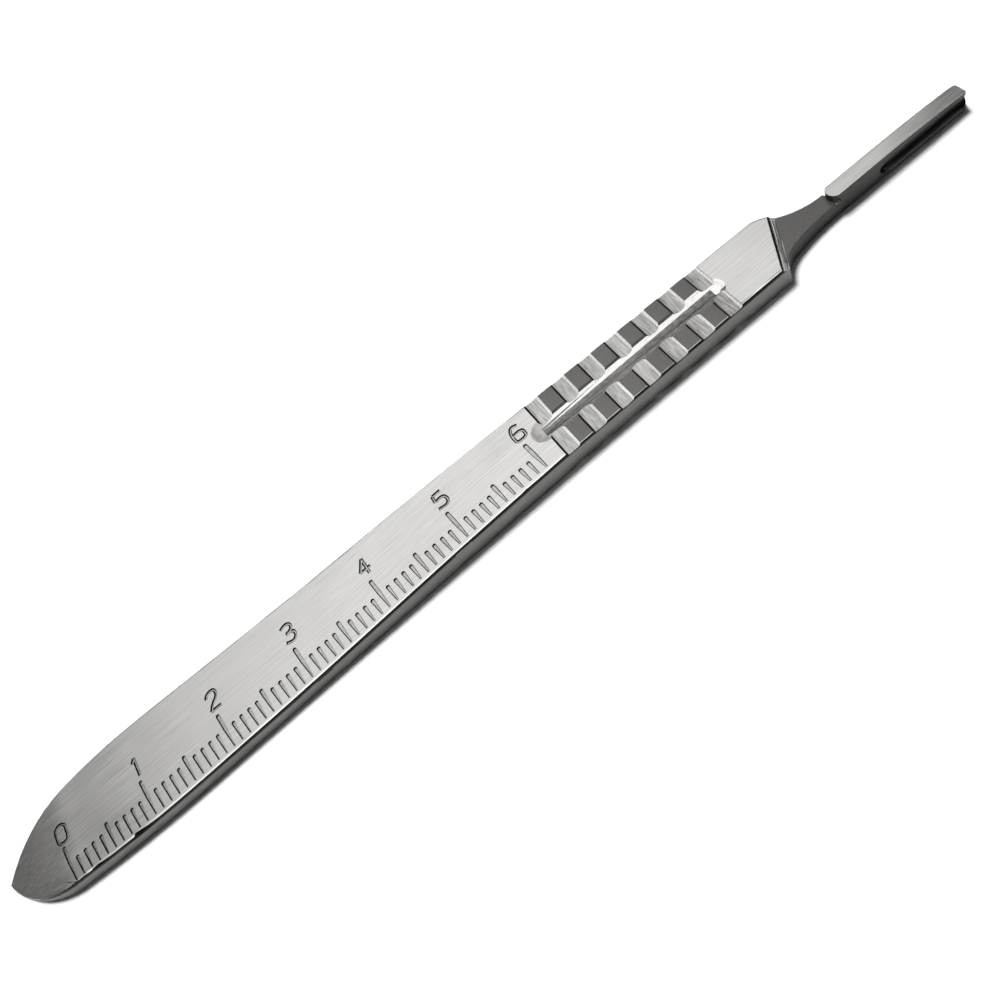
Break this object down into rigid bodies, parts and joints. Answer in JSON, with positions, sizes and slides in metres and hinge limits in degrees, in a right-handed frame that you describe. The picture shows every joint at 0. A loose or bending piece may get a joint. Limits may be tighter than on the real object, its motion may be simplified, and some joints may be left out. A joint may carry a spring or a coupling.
{
  "type": "scalpel handle",
  "caption": "Slim one-piece steel scalpel handle with a slotted blade fitting, a grooved grip, an engraved centimetre scale and a pointed tail.",
  "frame": {"origin": "centre of the bounding box in plan, on the plane of the flat back face", "axes": "+X along the handle from the pointed tail to the blade fitting, +Y away from the edge that carries the scale, +Z out of the front face"},
  "size_m": [0.1222, 0.0108, 0.0027],
  "materials": {
    "steel": "faces brushed lengthwise, grip pads and blade seat left satin"
  },
  "bodies": {
    "root": {"scalpel_handle": "steel"}
  },
  "joints": []
}
